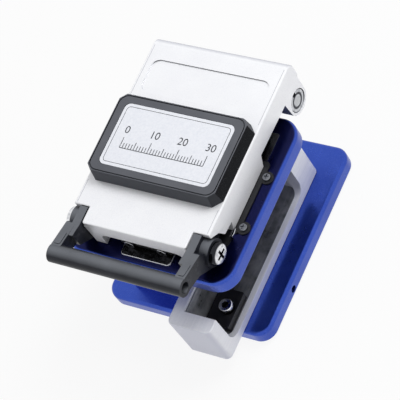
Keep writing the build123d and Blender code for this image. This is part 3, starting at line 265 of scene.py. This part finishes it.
def bail_plastic():
    """Harder, glossier charcoal of the bail, painted lighter on its tops and darker on its other
    faces as light and shade.
    """
    s = Shade("bail_plastic", 0.33, 0.0, Specular_IOR_Level=0.2)
    slow = s.noise(150, 4)
    streaks = s.noise(500, 3, 0.6, s.stretched(0.12, 1.0, 1.0))
    # low is the painted shade of the sides and underside, high the painted light of the tops.
    low = s.mix(s.fade(slow, 0.3, 0.7), srgb(32, 34, 41), srgb(40, 42, 49))
    high = s.mix(s.fade(slow, 0.3, 0.7), srgb(98, 101, 107), srgb(106, 109, 115))
    body = s.mix(s.fade(s.facing("Z"), 0.72, 1.0), low, high)
    s.colour(s.mix(s.fade(streaks, 0.55, 0.8, 0.0, 0.25), body, srgb(112, 115, 121)))
    s.roughness(s.fade(slow, 0.3, 0.7, 0.27, 0.4))
    s.bump(s.noise(2600, 3), 0.00003, 0.3)
    return s.mat


def label_film():
    """Pale satin film with a fine paper-like mottle."""
    s = Shade("label_film", 0.3, 0.0, Coat_Weight=0.3, Coat_Roughness=0.2)
    mottle = s.noise(1500, 4, 0.6)
    s.colour(s.mix(s.fade(mottle, 0.35, 0.7), srgb(231, 233, 239), srgb(221, 224, 232)))
    s.roughness(s.fade(s.noise(200, 3), 0.3, 0.7, 0.24, 0.36))
    s.bump(s.noise(600, 2), 0.00002, 0.2)
    return s.mat


def rubber(name, low, high, rough):
    """Moulded rubber with a dusty, uneven surface."""
    s = Shade(name, rough, 0.0, Specular_IOR_Level=0.3)
    dust = s.noise(420, 5, 0.65)
    s.colour(s.mix(s.fade(dust, 0.45, 0.75), low, high))
    s.roughness(s.fade(dust, 0.3, 0.7, rough - 0.1, rough + 0.1))
    s.bump(s.noise(2400, 3), 0.00005, 0.5)
    return s.mat


def steel(name, base, rough, lines=0.5, along=(1.0, 0.04, 1.0)):
    """Polished or ground steel: fine lines one way, soft stains, small scratches."""
    s = Shade(name, rough, 1.0)
    fine = s.noise(2600, 3, 0.6, s.stretched(*along))
    stain = s.noise(140, 3)
    body = s.mix(s.fade(stain, 0.3, 0.75), base, [c * 0.86 for c in base[:3]] + [1.0])
    s.colour(s.mix(s.fade(fine, 0.4, 0.7, 0.0, lines), body, [c * 0.78 for c in base[:3]] + [1.0]))
    s.roughness(s.fade(fine, 0.3, 0.7, rough * 0.75, rough * 1.3))
    s.bump(fine, 0.00001, 0.3)
    return s.mat


def print_ink(name, base):
    """Screen-printed ink with slightly uneven cover."""
    s = Shade(name, 0.45)
    cover = s.noise(2500, 3)
    s.colour(s.mix(s.fade(cover, 0.4, 0.8, 0.0, 0.35), base, srgb(120, 122, 128)))
    s.roughness(s.fade(cover, 0.3, 0.7, 0.38, 0.52))
    s.bump(cover, 0.00001, 0.2)
    return s.mat


def liner_steel():
    """Dull rolled sheet in the slider's pocket, with clouds and wipe marks along it."""
    s = Shade("liner_steel", 0.34, 0.45)
    clouds = s.noise(150, 4, 0.55)
    wipes = s.noise(700, 3, 0.6, s.stretched(1.0, 0.12, 1.0))
    body = s.mix(s.fade(clouds, 0.35, 0.68), srgb(92, 94, 98), srgb(160, 162, 166))
    s.colour(s.mix(s.fade(wipes, 0.5, 0.8, 0.0, 0.4), body, srgb(180, 182, 186)))
    s.roughness(s.fade(clouds, 0.3, 0.7, 0.26, 0.42))
    s.bump(wipes, 0.00001, 0.3)
    return s.mat


def keeper_steel():
    """Blackened steel strip, dark on its top and near white on all its other faces."""
    s = Shade("keeper_steel", 0.3, 0.9)
    wear = s.noise(700, 4)
    top = s.mix(s.fade(wear, 0.4, 0.8), srgb(30, 30, 33), srgb(56, 57, 62))
    edge = s.mix(s.fade(wear, 0.3, 0.7), srgb(236, 237, 241), srgb(214, 216, 222))
    s.colour(s.mix(s.fade(s.facing("Z"), 0.9, 0.97), edge, top))
    s.roughness(s.fade(wear, 0.3, 0.7, 0.22, 0.36))
    s.bump(s.noise(2400, 3), 0.00001, 0.3)
    return s.mat


def head_chrome(name, axis):
    """Chrome head that looks along an axis, with painted dark reflection in the cross and round the
    rim.

    The rim of the bail's left head is kept free of the painted reflection.
    """
    bail_pivot = (-26.1 * MM, 45.3 * MM)
    cross_reach = 2.0 * MM
    left_head = -23.5 * MM
    blur = 0.2 * MM
    s = Shade(name, 0.12, 1.0)
    stain = s.noise(900, 4)
    stained = s.fade(stain, 0.42, 0.72, 0.0, 0.8)
    metal = s.mix(stained, srgb(232, 233, 236), srgb(150, 152, 158))
    front = s.fade(s.math("ABSOLUTE", s.facing(axis)), 0.75, 0.97)
    rim_free_of_painted_reflection = s.math(
        "MULTIPLY",
        s.fade(s.place("X"), left_head - MM, left_head, 1.0, 0.0),
        s.fade(s.away(*bail_pivot), cross_reach, cross_reach + blur),
    )
    # Faces that don't look along the axis are painted near black as dark reflection; the left
    # head's rim is spared.
    s.colour(s.mix(s.math("MAXIMUM", front, rim_free_of_painted_reflection), srgb(46, 47, 51), metal))
    s.roughness(s.fade(stain, 0.3, 0.7, 0.08, 0.2))
    s.bump(s.noise(1300, 2), 0.00003, 0.3)
    return s.mat


def cap_steel():
    """Snap cap on the hinge pin: bright rim and dome with a shadowed groove between."""
    groove_inside, groove_outside, blur = 0.5, 0.72, 0.06  # shares of the cap's radius
    s = Shade("cap_steel", 0.2, 1.0)
    low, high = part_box("pin_caps")
    radius = s.away((low[1] + high[1]) / 2, (low[2] + high[2]) / 2)
    cap = (high[1] - low[1]) / 2
    stain = s.noise(700, 4)
    metal = s.mix(s.fade(stain, 0.4, 0.75), srgb(206, 208, 212), srgb(140, 142, 148))
    inner = s.fade(radius, groove_inside * cap, (groove_inside + blur) * cap)
    outer = s.fade(radius, groove_outside * cap, (groove_outside + blur) * cap, 1.0, 0.0)
    s.colour(s.mix(s.math("MULTIPLY", inner, outer), metal, srgb(58, 60, 66)))
    s.roughness(s.fade(stain, 0.3, 0.7, 0.14, 0.3))
    s.bump(s.noise(2400, 3), 0.00001, 0.3)
    return s.mat


def socket_chrome():
    """Bright screw with painted shade on its socket floor."""
    socket_depth, blur = 1.2 * MM, 0.4 * MM
    s = Shade("socket_chrome", 0.14, 1.0)
    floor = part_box("arm_screw")[1][2] - socket_depth
    dirt = s.noise(900, 4)
    bright = s.mix(s.fade(dirt, 0.45, 0.8, 0.0, 0.6), srgb(226, 227, 230), srgb(150, 152, 158))
    # Below the socket floor's height the colour is near black: painted shade.
    s.colour(s.mix(s.fade(s.place("Z"), floor, floor + blur), srgb(16, 16, 18), bright))
    s.roughness(s.fade(dirt, 0.3, 0.7, 0.1, 0.22))
    s.bump(s.noise(2400, 3), 0.00001, 0.2)
    return s.mat


finish = {
    "blue_paint": blue_enamel(),
    "silver_paint": silver_lacquer(),
    "silver_slider": silver_satin(),
    "black_anodised": black_anodised(),
    "charcoal_plastic": charcoal_plastic(),
    "label_white": label_film(),
    "rubber_black": rubber("mat_rubber", srgb(22, 22, 24), srgb(52, 52, 54), 0.75),
    "clamp_rubber": rubber("clamp_rubber", srgb(44, 44, 46), srgb(66, 66, 68), 0.6),
    "polished_steel": steel("polished_steel", srgb(198, 200, 203), 0.2),
    "chrome_screw": steel("chrome_screw", srgb(226, 227, 230), 0.12, 0.2, (1.0, 1.0, 1.0)),
    "black_screw": steel("black_screw", srgb(52, 52, 56), 0.38, 0.3, (1.0, 1.0, 1.0)),
    "blade_carbide": steel("blade_carbide", srgb(176, 178, 184), 0.24, 0.5, (1.0, 1.0, 1.0)),
}
for part in frame["record"]["subparts"]:
    for slot in frame["nodes"][part["node"]].material_slots:
        slot.material = finish[part["material_slot"]]
for node, special in (
    ("bail_handle", bail_plastic()),
    ("keeper_plate", keeper_steel()),
    ("arm_screw", socket_chrome()),
    ("pin_caps", cap_steel()),
    ("front_screws", head_chrome("front_chrome", "Y")),
    ("bail_screws", head_chrome("bail_chrome", "X")),
    # The platform and hinge bracket get a dark navy painted on their tops: painted shade.
    ("platform", blue_enamel("platform_enamel_painted_shade", srgb(13, 18, 68))),
    ("hinge_bracket", blue_enamel("bracket_enamel_painted_shade", srgb(13, 18, 68))),
    ("carrier_screws", steel("dim_chrome", srgb(132, 134, 140), 0.16, 0.8, (1.0, 1.0, 1.0))),
    ("pocket_liner", liner_steel()),
):
    for slot in frame["nodes"][node].material_slots:
        slot.material = special


def strip(start, end, width):
    """Outline of a straight stroke between two points, in millimetres."""
    ahead = (Vector(end) - Vector(start)).normalized()
    aside = Vector((-ahead.y, ahead.x)) * width / 2
    return [tuple(Vector(p) + k * aside) for p, k in ((start, 1), (start, -1), (end, -1), (end, 1))]


def ring(half_x, half_y, radius, middle, width, steps=6):
    """Strokes that follow a rectangle with round corners."""
    points = []
    for quarter, (sx, sy) in enumerate(((1, 1), (-1, 1), (-1, -1), (1, -1))):
        for step in range(steps + 1):
            turn = (quarter + step / steps) * pi / 2
            points.append((
                middle[0] + sx * (half_x - radius) + radius * cos(turn),
                middle[1] + sy * (half_y - radius) + radius * sin(turn),
            ))
    return [strip(points[i - 1], points[i], width) for i in range(len(points))]


def plates(name, outlines, low, high, material, body, slot):
    """Thin upright prisms on flat outlines, as one piece that rides on a body."""
    mesh = bmesh.new()
    for outline in outlines:
        rings = [
            [mesh.verts.new((x * MM, y * MM, z * MM)) for x, y in outline] for z in (low, high)
        ]
        mesh.faces.new(rings[0][::-1])
        mesh.faces.new(rings[1])
        for i in range(len(outline)):
            mesh.faces.new((rings[0][i - 1], rings[0][i], rings[1][i], rings[1][i - 1]))
    bmesh.ops.recalc_face_normals(mesh, faces=mesh.faces)
    settle(name, mesh, material, body)


def settle(name, mesh, material, body):
    """Turns a bmesh into a piece with its finish and its body."""
    data = bpy.data.meshes.new(name)
    mesh.to_mesh(data)
    mesh.free()
    data.materials.append(material)
    piece = bpy.data.objects.new(name, data)
    bpy.context.scene.collection.objects.link(piece)
    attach(piece, body)


def numbers(name, marks, size, material, body):
    """Plain numbers of the given height as one thin piece; marks are texts with their places."""
    mesh = bmesh.new()
    for text, place in marks:
        curve = bpy.data.curves.new(name, "FONT")
        curve.body = text
        curve.size = size * MM
        curve.extrude = NUMBER_HALF_THICK * MM
        curve.align_x = "CENTER"
        curve.align_y = "CENTER"
        writer = bpy.data.objects.new(name + "_writer", curve)
        flat = writer.to_mesh()
        flat.transform(place)
        mesh.from_mesh(flat)
        writer.to_mesh_clear()
        bpy.data.objects.remove(writer)
        bpy.data.curves.remove(curve)
    settle(name, mesh, material, body)


def at(x, y, z):
    return Matrix.Translation((x * MM, y * MM, z * MM))


def box_mm(node):
    """A node's lowest and highest corners, in millimetres."""
    return [[c / MM for c in corner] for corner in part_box(node)]


def label_marks(ink):
    """Keyline and a plain millimetre scale on the label."""
    keyline_inset, keyline_corner, keyline_width = 1.1, 1.2, 0.16
    scale_length, scale_foot, stroke = 30, 6.4, 0.24
    long_tick, middle_tick, short_tick = 3.6, 2.7, 1.8
    number_height, number_rise = 3.6, 6.2
    low, high = box_mm("label_plate")
    middle = ((low[0] + high[0]) / 2, (low[1] + high[1]) / 2)
    half_x = (high[0] - low[0]) / 2 - keyline_inset
    half_y = (high[1] - low[1]) / 2 - keyline_inset
    top = high[2]
    place = (top, top + PRINT_THICK, ink, "lid", "label_white")
    plates("label_keyline", ring(half_x, half_y, keyline_corner, middle, keyline_width), *place)
    foot = low[1] + scale_foot
    half = scale_length / 2
    ticks = []
    for mark in range(scale_length + 1):
        length = long_tick if mark % 10 == 0 else middle_tick if mark % 5 == 0 else short_tick
        ticks.append(strip((mark - half, foot), (mark - half, foot + length), stroke))
    ticks.append(strip((-half, foot), (half, foot), stroke))
    plates("label_scale", ticks, *place)
    marks = [
        (str(mark), at(mark - half, foot + number_rise, top + NUMBER_LIFT))
        for mark in range(0, scale_length + 1, 10)
    ]
    numbers("label_numbers", marks, number_height, ink, "lid")


def guide_marks(ink):
    """Scale on the fibre guide: distance from the blade in millimetres."""
    first_mark, last_mark = 14, 35
    long_tick, short_tick, stroke = 2.0, 1.1, 0.14
    scale_foot, number_rise, number_height = 0.6, 3.6, 1.7
    low, high = box_mm("fibre_guide")
    blade_x = sum(box_mm("cutting_blade")[i][0] for i in (0, 1)) / 2
    top = high[2]
    foot = low[1] + scale_foot
    ticks = []
    marks = []
    for mark in range(first_mark, last_mark + 1):
        length = long_tick if mark % 5 == 0 else short_tick
        ticks.append(strip((blade_x - mark, foot), (blade_x - mark, foot + length), stroke))
        if mark % 5 == 0 and mark < last_mark:
            marks.append((str(mark), at(blade_x - mark, low[1] + number_rise, top + NUMBER_LIFT)))
    plates("guide_scale", ticks, top, top + PRINT_THICK, ink, "root", "polished_steel")
    numbers("guide_numbers", marks, number_height, ink, "root")


def blade_marks(ink):
    """Numbers round the blade that tell which stretch of its edge is in use."""
    stretches, number_radius, number_height = 16, 6.6, 1.5
    low, high = box_mm("cutting_blade")
    middle = ((low[1] + high[1]) / 2, (low[2] + high[2]) / 2)
    centre = at(high[0] + NUMBER_LIFT, *middle)
    upright = Matrix.Rotation(pi / 2, 4, "X") @ at(0.0, number_radius, 0.0)
    face = Matrix.Rotation(pi / 2, 4, "Z") @ upright
    marks = []
    for count in range(stretches):
        turn = Matrix.Rotation(-tau * count / stretches, 4, "X")
        marks.append((str(count + 1), centre @ turn @ face))
    numbers("blade_numbers", marks, number_height, ink, "blade")


def lid_lines(ink):
    """Fine grey line of painted shade inside each long edge of the lid's top, broken by the thumb
    pad.
    """
    side_inset, front_inset, rear_inset, pad_gap = 0.85, 6.4, 3.0, 0.2
    width, thick = 0.14, 0.01
    low, high = box_mm("lid")
    pad_low, pad_high = box_mm("thumb_pad")
    lines = []
    for x in (low[0] + side_inset, high[0] - side_inset):
        lines.append(strip((x, low[1] + front_inset), (x, pad_low[1] - pad_gap), width))
        lines.append(strip((x, pad_high[1] + pad_gap), (x, high[1] - rear_inset), width))
    plates("lid_edge_lines", lines, high[2], high[2] + thick, ink, "lid", "silver_paint")


def clamp_front():
    """Black lip in front of the right clamp carrier, and the small bright clip beside it."""
    lip_thick, clip_height, clip_half_wall = 0.5, 2.3, 0.13
    carrier_front = box_mm("lower_clamp_right")[0][1]
    floor = box_mm("platform")[1][2]
    lip = [(20.4, 0.0), (24.9, 0.0), (24.5, -4.2), (23.2, -6.6), (20.4, -7.6)]
    lip = [(x, carrier_front + y) for x, y in lip]
    top = floor + lip_thick
    plates("clamp_front_lip", [lip], floor, top, finish["black_anodised"], "root", "black_anodised")

    path = [
        (25.55, -18.3), (25.75, -17.3), (25.6, -16.2), (25.15, -15.3),
        (24.95, -16.2), (24.9, -17.4), (25.0, -18.5),
    ]
    clip = []
    for run in (path, path[::-1]):
        for i, point in enumerate(run):
            before, after = run[max(i - 1, 0)], run[min(i + 1, len(run) - 1)]
            ahead = (Vector(after) - Vector(before)).normalized() * clip_half_wall
            clip.append((point[0] - ahead.y, point[1] + ahead.x))
    top = floor + clip_height
    plates("clamp_clip", [clip], floor, top, finish["chrome_screw"], "root", "chrome_screw")


dark_ink = print_ink("dark_ink", srgb(40, 42, 48))
# A grey with print ink's finish, used for the painted shade lines along the lid's edges.
painted_shade_grey = print_ink("painted_shade_grey", srgb(176, 178, 186))
label_marks(dark_ink)
guide_marks(dark_ink)
blade_marks(dark_ink)
lid_lines(painted_shade_grey)
clamp_front()


def lamp(name, watts, size, place):
    """Soft square lamp that looks at the part and isn't seen in its reflections."""
    data = bpy.data.lights.new(name, "AREA")
    data.energy = watts
    data.size = size
    light = bpy.data.objects.new(name, data)
    light.visible_glossy = False
    light.location = place
    light.rotation_euler = (Vector(place) - Vector(LAMP_AIM)).to_track_quat("Z", "Y").to_euler()
    bpy.context.scene.collection.objects.link(light)


def background_share(tree, low, high):
    """high for rays that show the background, low for all others.

    Those rays come from the camera, off glossy surfaces and through clear ones.
    """
    rays = tree.nodes.new("ShaderNodeLightPath")
    total = rays.outputs["Is Camera Ray"]
    for kind in ("Is Glossy Ray", "Is Transmission Ray"):
        join = tree.nodes.new("ShaderNodeMath")
        join.operation = "MAXIMUM"
        tree.links.new(total, join.inputs[0])
        tree.links.new(rays.outputs[kind], join.inputs[1])
        total = join.outputs[0]
    level = tree.nodes.new("ShaderNodeMapRange")
    level.inputs["To Min"].default_value = low
    level.inputs["To Max"].default_value = high
    tree.links.new(total, level.inputs["Value"])
    return level.outputs["Result"]


def white_world():
    world = bpy.data.worlds.new("studio")
    bpy.context.scene.world = world
    world.use_nodes = True
    background = world.node_tree.nodes["Background"]
    background.inputs["Color"].default_value = (1.0, 1.0, 1.0, 1.0)
    level = background_share(world.node_tree, SKY_LEVEL, 1.0)
    world.node_tree.links.new(level, background.inputs["Strength"])


def pale_floor():
    """Floor that glows white where it is seen, with enough shading left for the shadow."""
    mesh = bpy.data.meshes.new("floor")
    corners = [(x * FLOOR_HALF, y * FLOOR_HALF, 0) for x, y in ((-1, -1), (1, -1), (1, 1), (-1, 1))]
    mesh.from_pydata(corners, [], [(0, 1, 2, 3)])
    floor = bpy.data.objects.new("floor", mesh)
    bpy.context.scene.collection.objects.link(floor)
    mat = bpy.data.materials.new("floor_white")
    mat.use_nodes = True
    nodes, links = mat.node_tree.nodes, mat.node_tree.links
    shader = nodes["Principled BSDF"]
    shader.inputs["Base Color"].default_value = (FLOOR_GREY, FLOOR_GREY, FLOOR_GREY, 1.0)
    shader.inputs["Roughness"].default_value = 0.9
    shader.inputs["Specular IOR Level"].default_value = 0.1
    glow = nodes.new("ShaderNodeEmission")
    glow.inputs["Strength"].default_value = 1.0
    blend = nodes.new("ShaderNodeMixShader")
    links.new(background_share(mat.node_tree, 0.0, FLOOR_GLOW_SHARE), blend.inputs["Fac"])
    links.new(shader.outputs[0], blend.inputs[1])
    links.new(glow.outputs[0], blend.inputs[2])
    links.new(blend.outputs[0], nodes["Material Output"].inputs["Surface"])
    mesh.materials.append(mat)


def camera():
    """The photograph's view: long lens, from the right front and above, rolled clockwise."""
    azimuth, elevation, roll = radians(-32.553), radians(52.636), radians(-37.756)
    target = Vector((0.000637, -0.003523, 0.027375))
    distance = 0.679696
    towards = Vector((cos(elevation) * cos(azimuth), cos(elevation) * sin(azimuth), sin(elevation)))
    data = bpy.data.cameras.new("photo_camera")
    data.sensor_width = 36.0
    data.lens = 198.375
    data.clip_start = 0.05
    data.clip_end = 20.0
    view = bpy.data.objects.new("photo_camera", data)
    upright = towards.to_track_quat("Z", "Y").to_matrix().to_4x4()
    turn = upright @ Matrix.Rotation(roll, 4, "Z")
    view.matrix_world = Matrix.Translation(target + towards * distance) @ turn
    bpy.context.scene.collection.objects.link(view)
    bpy.context.scene.camera = view


for name, watts, size, place in LAMPS:
    lamp(name, watts, size, place)
white_world()
pale_floor()
camera()
bpy.context.scene.view_settings.view_transform = "Standard"
